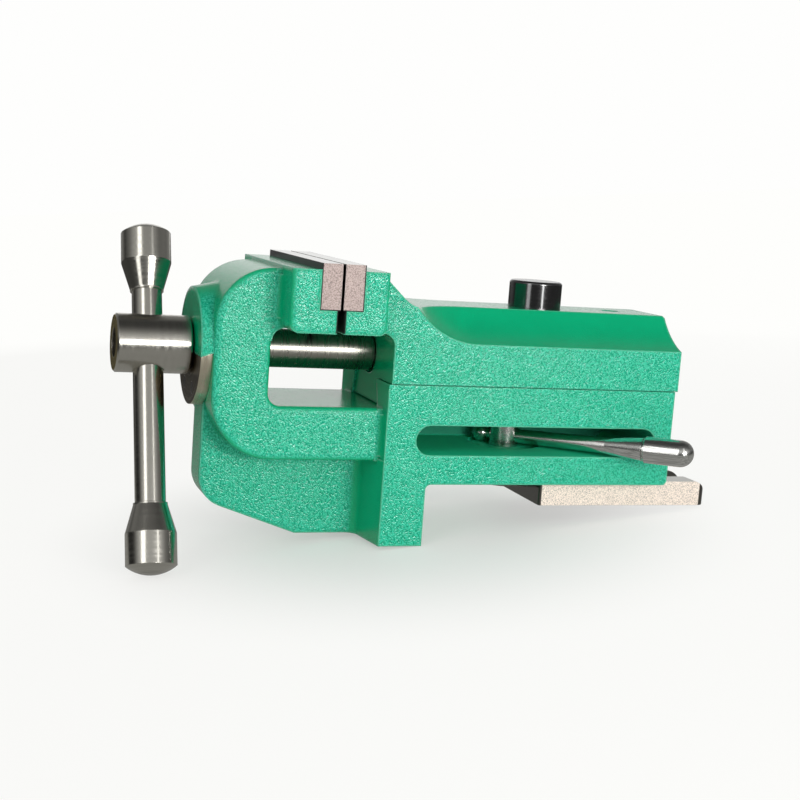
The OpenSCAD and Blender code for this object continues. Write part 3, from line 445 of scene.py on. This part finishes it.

# %% [markdown]
# ## Enamel
# Frame and slide are iron castings under thick green enamel. On the sides and round the boss it dried in
# small pebbles that catch the light; on ends, fillets and tops it flowed smooth. The pebbles are painted paler
# on top and darker in their hollows, painted light and shade. Outer edges carry a painted highlight, a paler
# green. Inside the lever's pocket and between the jaw blocks it is matt; in the pocket level faces are painted
# lighter and walls darker, painted light and shade, and between the jaw blocks it is painted nearly black, a
# painted shadow. Cast edges are broadly rounded, but the seam between bed and slide was machined, so
# it stays crisp and shows as a dark line. Masks made from the place and the direction of a face tell all
# these apart.

# %% Where the enamel changes
front_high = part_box("front_jaw_plate")[1]
rear_low, rear_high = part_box("rear_jaw_plate")
grip_middle = (front_high.x + rear_low.x) / 2
half_gap = rear_low.x - grip_middle + 1 * MILLIMETRE
block_drop = 7.5 * MILLIMETRE
boss_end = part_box("retaining_segment")[1].x + 4 * MILLIMETRE
bed_length = 114 * MILLIMETRE
bed_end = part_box("frame_casting")[1].x
slide_overhang = 5 * MILLIMETRE
seam_height = 45.5 * MILLIMETRE
seam_reach = 1.5 * MILLIMETRE
pocket_start = -90 * MILLIMETRE
pocket_end = bed_end - 2 * MILLIMETRE
pocket_half_width = 27.5 * MILLIMETRE
pocket_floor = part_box("lever_hub")[0].z - 1 * MILLIMETRE
pocket_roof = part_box("lever_hub")[1].z + 1 * MILLIMETRE
mask_softness = 0.5 * MILLIMETRE
print("pocket from", round(pocket_floor, 4), "to", round(pocket_roof, 4), "half width", pocket_half_width)


# %% Masks for the enamel
def within(tree, value, low, high):
    """1 where a value lies between two limits, with soft edges."""
    above = remap(tree, value, low - mask_softness, low, 0, 1)
    below = remap(tree, value, high, high + mask_softness, 1, 0)
    return calculate(tree, "MULTIPLY", above, below)


def seam_masks(tree, spot):
    """1 along the bed, 1 near the seam between bed and slide, and 1 on the seam's thin line."""
    on_bed = within(tree, spot.outputs["X"], bed_end - bed_length, bed_end + slide_overhang)
    near_seam = within(tree, spot.outputs["Z"], seam_height - seam_reach, seam_height + seam_reach)
    on_line = within(tree, spot.outputs["Z"], seam_height, seam_height)
    at_seam = calculate(tree, "MULTIPLY", near_seam, on_bed)
    seam_line = calculate(tree, "MULTIPLY", on_line, on_bed)
    return on_bed, at_seam, seam_line


def shade_masks(tree, spot):
    """1 inside the lever's pocket, and 1 in the gap between the jaw blocks."""
    across = within(tree, spot.outputs["Y"], -pocket_half_width, pocket_half_width)
    between = within(tree, spot.outputs["Z"], pocket_floor, pocket_roof)
    inside = calculate(tree, "MULTIPLY", across, between)
    pocket = calculate(tree, "MULTIPLY", inside, within(tree, spot.outputs["X"], pocket_start, pocket_end))
    gap_across = within(tree, spot.outputs["X"], grip_middle - half_gap, grip_middle + half_gap)
    gap_height = within(tree, spot.outputs["Z"], rear_low.z - block_drop, rear_low.z)
    gap = calculate(tree, "MULTIPLY", gap_across, gap_height)
    return pocket, gap


def side_mask(tree, spot, way):
    """1 on flat sides and round the boss, by the direction that a face looks in."""
    turned_out = absolute(tree, way.outputs["Y"])
    flat_side = remap(tree, turned_out, 0.8, 0.97, 0, 1)
    round_side = remap(tree, turned_out, 0.3, 0.6, 0, 1)
    on_boss = remap(tree, spot.outputs["X"], boss_end, boss_end + 1 * MILLIMETRE, 1, 0)
    boss_side = calculate(tree, "MULTIPLY", round_side, on_boss)
    return calculate(tree, "MAXIMUM", flat_side, boss_side)


def outer_edge_mask(tree, reach):
    """1 on edges that stick out: looking inwards from there, little of the solid is near."""
    solid_inside = place(
        tree, "ShaderNodeAmbientOcclusion", {"Distance": reach}, inside=True, only_local=True, samples=6
    ).outputs["AO"]
    return remap(tree, solid_inside, 0.98, 0.75, 0, 1)


print("masks ready, seam at", seam_height)


# %% Enamel material
cast_edge = 2.6 * MILLIMETRE
bed_edge = 1.6 * MILLIMETRE
seam_edge = 0.3 * MILLIMETRE
pebble = 0.56 * MILLIMETRE
pebble_depth = 0.2 * MILLIMETRE
edge_highlight_reach = 0.7 * MILLIMETRE


def green_enamel():
    """Thick green enamel over cast iron."""
    material, tree, shader = begin_material("hammered_enamel")
    spot = place(tree, "ShaderNodeSeparateXYZ", {0: place(tree, "ShaderNodeTexCoord").outputs["Object"]})
    on_bed, at_seam, seam_line = seam_masks(tree, spot)
    cast_radius = remap(tree, on_bed, 0, 1, cast_edge, bed_edge)
    seam_radius = remap(tree, at_seam, 0, 1, cast_edge, seam_edge)
    edges = use_group(tree, soft_edges, {"Radius": calculate(tree, "MINIMUM", cast_radius, seam_radius)})
    skin = use_group(tree, hammered_skin, {"Pebble": pebble})
    own_way = place(
        tree, "ShaderNodeVectorTransform", {0: edges.outputs["Normal"]},
        vector_type="NORMAL", convert_from="WORLD", convert_to="OBJECT",
    ).outputs[0]
    way = place(tree, "ShaderNodeSeparateXYZ", {0: own_way})
    sideways = side_mask(tree, spot, way)
    pocket, gap = shade_masks(tree, spot)
    in_shade = calculate(tree, "MAXIMUM", pocket, gap)
    open_face = calculate(tree, "MULTIPLY", sideways, calculate(tree, "SUBTRACT", 1.0, in_shade))

    lifted = calculate(tree, "SUBTRACT", skin.outputs["Height"], 0.5)
    lifted = calculate(tree, "MULTIPLY", lifted, remap(tree, open_face, 0, 1, 0.3, 1.0))
    # Pebble tops are painted paler and their hollows darker: painted light and shade on the skin.
    raised = remap(tree, lifted, -0.2, 0.2, 0, 1)
    pebble_light_and_shade = blend_colours(tree, raised, tone(0, 147, 113), tone(52, 189, 154))
    flowed = blend_colours(tree, skin.outputs["Patch"], tone(0, 156, 106), tone(0, 168, 116))
    body = blend_colours(tree, open_face, flowed, pebble_light_and_shade)
    # Outer edges get a painted highlight, a paler green, which is weaker at the machined seam.
    outer_edge = outer_edge_mask(tree, edge_highlight_reach)
    edge_highlight_share = calculate(tree, "MULTIPLY", outer_edge, remap(tree, at_seam, 0, 1, 0.4, 0.1))
    edge_highlighted = blend_colours(tree, edge_highlight_share, body, tone(130, 222, 190))
    # Inside the lever's pocket, level faces are painted lighter and walls darker: painted light and painted shade.
    level_face = remap(tree, way.outputs["Z"], 0.3, 0.8, 0, 1)
    pocket_light_and_shade = blend_colours(tree, level_face, tone(0, 144, 110), tone(0, 204, 152))
    # Between the jaw blocks the enamel is painted nearly black: painted shade.
    shaded = blend_colours(tree, gap, pocket_light_and_shade, tone(20, 30, 26))
    painted = blend_colours(tree, in_shade, edge_highlighted, shaded)
    seam_share = calculate(tree, "MULTIPLY", seam_line, calculate(tree, "MULTIPLY", sideways, 0.7))
    colour = blend_colours(tree, seam_share, painted, tone(0, 56, 42))

    normal = relief_normal(tree, edges, lifted, pebble_depth)
    rough = remap(tree, in_shade, 0, 1, 0.14, 0.7)
    feed(tree, shader, {"Base Color": colour, "Roughness": rough, "Normal": normal})
    feed(tree, shader, {"Specular IOR Level": 0.5})
    return material


dress(green_enamel(), "frame_casting", "slide_casting")
print("enamel on frame and slide")

# %% [markdown]
# ## Turned steel
# Hub, bar, knobs and spindle come from the lathe. One function makes them all: it takes the axis that the
# piece was turned about, which for moving pieces is the axis of their joint.

# %% Turned steel materials
ring_width = 0.22 * MILLIMETRE
ring_depth = 0.0009 * MILLIMETRE


def turned_steel(name, axis_point, axis, colour, end_colour, roughness):
    """Steel with a lathe's fine rings; its end faces have a colour of their own."""
    material, tree, shader = begin_material(name)
    edges = use_group(tree, soft_edges, {"Radius": 0.35 * MILLIMETRE})
    rings = use_group(tree, turned_rings, {"Axis Point": axis_point, "Axis": axis, "Ring": ring_width})
    banded = blend_colours(tree, rings.outputs["Band"], darken(colour, 0.92), colour)
    stained = remap(tree, rings.outputs["Band"], 0.35, 0.65, 0, 1)
    end_face = blend_colours(tree, stained, darken(end_colour, 0.6), end_colour)
    tinted = blend_colours(tree, rings.outputs["End Face"], banded, end_face)
    normal = relief_normal(tree, edges, rings.outputs["Height"], ring_depth)
    rough = remap(tree, rings.outputs["Band"], 0.3, 0.7, roughness + 0.05, roughness - 0.03)
    feed(tree, shader, {"Base Color": tinted, "Metallic": 1.0, "Roughness": rough, "Normal": normal})
    return material


spindle_point = Vector(joints["spindle_turn"]["pos_m"])
spindle_axis = Vector(joints["spindle_turn"]["axis"])
bar_point = middle_of("tommy_bar")
bar_axis = Vector(joints["bar_slide"]["axis"])
steel = tone(200, 197, 188)
brass_tint = tone(255, 226, 100)
dark_oiled = tone(160, 157, 148)
keeper_brown = tone(120, 108, 84)
keeper_rim = tone(218, 208, 186)
hub_steel = turned_steel("hub_steel", spindle_point, spindle_axis, steel, brass_tint, 0.2)
bar_steel = turned_steel("bar_steel", bar_point, bar_axis, steel, steel, 0.18)
spindle_steel = turned_steel("spindle_steel", spindle_point, spindle_axis, dark_oiled, dark_oiled, 0.28)
keeper_steel = turned_steel("keeper_steel", spindle_point, spindle_axis, keeper_rim, keeper_brown, 0.3)
dress(hub_steel, "spindle_hub")
dress(bar_steel, "tommy_bar", "upper_knob", "lower_knob")
dress(spindle_steel, "spindle")
dress(keeper_steel, "retaining_segment")
print("turned pieces dressed")

# %% [markdown]
# ## Jaw plates and swivel plate
# The jaw plates are hardened and ground bright on top, oil-blackened on their long faces, and sawn on their
# ends, which look pale and grainy. A dark seam shows where they sit in their castings. The swivel plate is
# drawn bar stock with pale sides. The object's own normal and place tell which face is which, and bright
# thin lines along the edges are a painted highlight, laid on where the soft-edge group finds an edge.

# %% Ground plates
def ground_plate(name, node, stretch, face_colour, top_colour, side_colour, seam=None):
    """Steel with dark faces, a top and pale grainy ends; seam mixes in a dark line by a mask."""
    material, tree, shader = begin_material(name)
    edges = use_group(tree, soft_edges, {"Radius": 0.3 * MILLIMETRE})
    grain = use_group(tree, ground_grain, {"Stretch": stretch, "Grain": 0.38 * MILLIMETRE})
    coordinates = place(tree, "ShaderNodeTexCoord")
    way = place(tree, "ShaderNodeSeparateXYZ", {0: coordinates.outputs["Normal"]})
    spot = place(tree, "ShaderNodeSeparateXYZ", {0: coordinates.outputs["Object"]})
    half_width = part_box(node)[1].y
    sideways = remap(tree, absolute(tree, way.outputs["Y"]), 0.96, 0.985, 0, 1)
    out = absolute(tree, spot.outputs["Y"])
    outer = remap(tree, out, half_width - 1.0 * MILLIMETRE, half_width - 0.5 * MILLIMETRE, 0, 1)
    side = calculate(tree, "MULTIPLY", sideways, outer)
    top = remap(tree, way.outputs["Z"], 0.4, 0.8, 0, 1)
    face = blend_colours(tree, top, face_colour, top_colour)
    scratched = remap(tree, grain.outputs["Scratch"], 0.35, 0.65, 0.84, 1.0)
    ground = place(
        tree, "ShaderNodeMix", {0: 1.0, 6: face, 7: scratched}, data_type="RGBA", blend_type="MULTIPLY"
    ).outputs[2]
    speckle = remap(tree, grain.outputs["Speckle"], 0.32, 0.58, 0, 1)
    sawn = blend_colours(tree, speckle, darken(side_colour, 0.36), side_colour)
    surface_colour = blend_colours(tree, side, ground, sawn)
    # Edges are painted near white: a painted highlight.
    edge_highlight_share = calculate(tree, "MULTIPLY", edges.outputs["Edge"], 0.6)
    colour = blend_colours(tree, edge_highlight_share, surface_colour, tone(236, 232, 226))
    if seam:
        colour = blend_colours(tree, seam(tree, spot), colour, tone(16, 18, 16))
    height = place(
        tree, "ShaderNodeMix",
        {0: side, 2: grain.outputs["Scratch"], 3: grain.outputs["Speckle"]}, data_type="FLOAT",
    ).outputs[0]
    normal = relief_normal(tree, edges, height, 0.02 * MILLIMETRE)
    rough = remap(tree, side, 0, 1, 0.28, 0.52)
    metal = remap(tree, side, 0, 1, 1.0, 0.4)
    feed(tree, shader, {"Base Color": colour, "Metallic": metal, "Roughness": rough, "Normal": normal})
    return material


plate_reach = rear_high.x - grip_middle
seam_width = 0.45 * MILLIMETRE


def jaw_seam(tree, spot):
    """1 on the thin lines at a jaw plate's back and foot, where it meets its casting."""
    from_grip = absolute(tree, calculate(tree, "SUBTRACT", spot.outputs["X"], grip_middle))
    back = remap(tree, from_grip, plate_reach - seam_width, plate_reach - 0.6 * seam_width, 0, 1)
    foot = remap(tree, spot.outputs["Z"], rear_low.z + 0.6 * seam_width, rear_low.z + seam_width, 1, 0)
    return calculate(tree, "MAXIMUM", back, foot)


jaw_steel = ground_plate(
    "jaw_steel", "front_jaw_plate", (1, 0.04, 1), tone(84, 84, 80), tone(255, 255, 253), tone(182, 164, 158),
    jaw_seam,
)
plate_steel = ground_plate(
    "plate_steel", "swivel_plate", (0.05, 1, 1), tone(104, 102, 97), tone(178, 177, 172), tone(255, 240, 226)
)
dress(jaw_steel, "front_jaw_plate", "rear_jaw_plate")
dress(plate_steel, "swivel_plate")
print("plates dressed")

# %% [markdown]
# ## Lever, lacquer and small parts
# The clamp lever is satin steel, polished along its length, so its streaks follow the rod; the rod's angle
# is measured from the hub to the grip. The release button is black lacquer over a turned knob. Screws and
# pins are plain machined steel, and the half nut and the bush are bronze.

# %% Satin lever
def satin_lever():
    """Steel with polishing streaks along the lever."""
    reach = middle_of("lever_grip") - middle_of("lever_hub")
    rod_turn = math.atan2(-reach.y, reach.x)
    print("lever points", round(math.degrees(rod_turn), 1), "degrees towards the user")
    material, tree, shader = begin_material("satin_lever")
    edges = use_group(tree, soft_edges, {"Radius": 0.3 * MILLIMETRE})
    grain = use_group(
        tree, ground_grain, {"Turn": (0, 0, rod_turn), "Stretch": (0.03, 1, 1), "Grain": 2.5 * MILLIMETRE}
    )
    streak = remap(tree, grain.outputs["Scratch"], 0.35, 0.65, 0, 1)
    colour = blend_colours(tree, streak, tone(190, 190, 186), tone(230, 230, 226))
    normal = relief_normal(tree, edges, grain.outputs["Scratch"], 0.012 * MILLIMETRE)
    rough = remap(tree, streak, 0, 1, 0.24, 0.14)
    feed(tree, shader, {"Base Color": colour, "Metallic": 1.0, "Roughness": rough, "Normal": normal})
    return material


dress(satin_lever(), "lever_hub", "lever_rod", "lever_ball", "lever_grip")
print("lever dressed")

# %% Black button
def black_lacquer():
    """Glossy black lacquer over a turned knob, whose rings still show faintly."""
    material, tree, shader = begin_material("black_lacquer")
    edges = use_group(tree, soft_edges, {"Radius": 0.5 * MILLIMETRE})
    rings = use_group(
        tree, turned_rings,
        {"Axis Point": middle_of("release_button"), "Axis": (0, 0, 1), "Ring": 0.4 * MILLIMETRE},
    )
    colour = blend_colours(tree, rings.outputs["Band"], tone(6, 6, 7), tone(16, 16, 18))
    normal = relief_normal(tree, edges, rings.outputs["Height"], 0.005 * MILLIMETRE)
    rough = remap(tree, rings.outputs["Band"], 0.3, 0.7, 0.18, 0.12)
    feed(tree, shader, {"Base Color": colour, "Roughness": rough, "Normal": normal})
    feed(tree, shader, {"Specular IOR Level": 1.0, "IOR": 1.8})
    return material


dress(black_lacquer(), "release_button")
print("button dressed")

# %% Screws, pins and bronze
def machined(name, colour, roughness):
    """Plain machined metal with a faint mottle."""
    material, tree, shader = begin_material(name)
    edges = use_group(tree, soft_edges, {"Radius": 0.2 * MILLIMETRE})
    grain = use_group(tree, ground_grain, {"Stretch": (1, 1, 1), "Grain": 0.6 * MILLIMETRE})
    mottled = blend_colours(tree, grain.outputs["Speckle"], darken(colour, 0.7), colour)
    normal = relief_normal(tree, edges, grain.outputs["Scratch"], 0.008 * MILLIMETRE)
    rough = remap(tree, grain.outputs["Speckle"], 0.3, 0.7, roughness + 0.06, roughness - 0.04)
    feed(tree, shader, {"Base Color": mottled, "Metallic": 1.0, "Roughness": rough, "Normal": normal})
    return material


screw_steel = machined("screw_steel", tone(150, 148, 144), 0.34)
dress(screw_steel, "pivot_stud", "front_jaw_screws", "rear_jaw_screws", "set_screw", "push_pins")
# The thrust washer is painted nearly black: painted shade, so that it reads as the dark gap between hub and boss.
dress(machined("washer_painted_shade", tone(30, 28, 26), 0.4), "thrust_washer")
dress(machined("keeper_screw", tone(92, 86, 76), 0.24), "retaining_screws")
dress(machined("bearing_bronze", tone(190, 150, 92), 0.36), "spindle_bush", "half_nut")
print("small parts dressed")

# %% [markdown]
# ## Coil spring
# Under the release button sits a compression spring. The solids have a plain sleeve in its place; a real one
# is a wire wound in a helix. Spinning a small circle round the axis, with a step upwards at each turn of the
# spin, winds it. The button shortens the real spring; this coil only rides with the slide and keeps its length.

# %% Coil spring
wire = 1.4 * MILLIMETRE
coil_turns = 5
steps_per_turn = 32
spring_low, spring_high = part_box("button_spring")
coil_radius = (spring_high.x - spring_low.x - wire) / 2
coil_middle = middle_of("button_spring")
coil_rise = spring_high.z - spring_low.z - wire

coil_mesh = bmesh.new()
ring = bmesh.ops.create_circle(coil_mesh, segments=12, radius=wire / 2)["verts"]
bmesh.ops.rotate(coil_mesh, verts=ring, matrix=Matrix.Rotation(math.radians(90), 3, "X"))
coil_start = Vector((coil_middle.x + coil_radius, coil_middle.y, spring_low.z + wire / 2))
bmesh.ops.translate(coil_mesh, verts=ring, vec=coil_start)
bmesh.ops.spin(
    coil_mesh, geom=coil_mesh.verts[:] + coil_mesh.edges[:], cent=coil_middle, axis=(0, 0, 1),
    dvec=(0, 0, coil_rise / coil_turns / steps_per_turn), angle=math.tau * coil_turns,
    steps=coil_turns * steps_per_turn,
)
open_ends = [edge for edge in coil_mesh.edges if edge.is_boundary]
bmesh.ops.holes_fill(coil_mesh, edges=open_ends)
bmesh.ops.recalc_face_normals(coil_mesh, faces=coil_mesh.faces)
for face in coil_mesh.faces:
    face.smooth = True
coil_data = bpy.data.meshes.new("coil_spring")
coil_mesh.to_mesh(coil_data)
coil_mesh.free()
coil = bpy.data.objects.new("coil_spring", coil_data)
bpy.context.scene.collection.objects.link(coil)
coil_data.materials.append(screw_steel)
print("spring of", coil_turns, "turns,", len(coil_data.polygons), "faces")

# %% Spring on the slide
height = spring_high.z - spring_low.z
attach(coil, "slide")
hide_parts("button_spring")
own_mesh(coil)
print("spring", round(height / MILLIMETRE, 1), "mm tall")
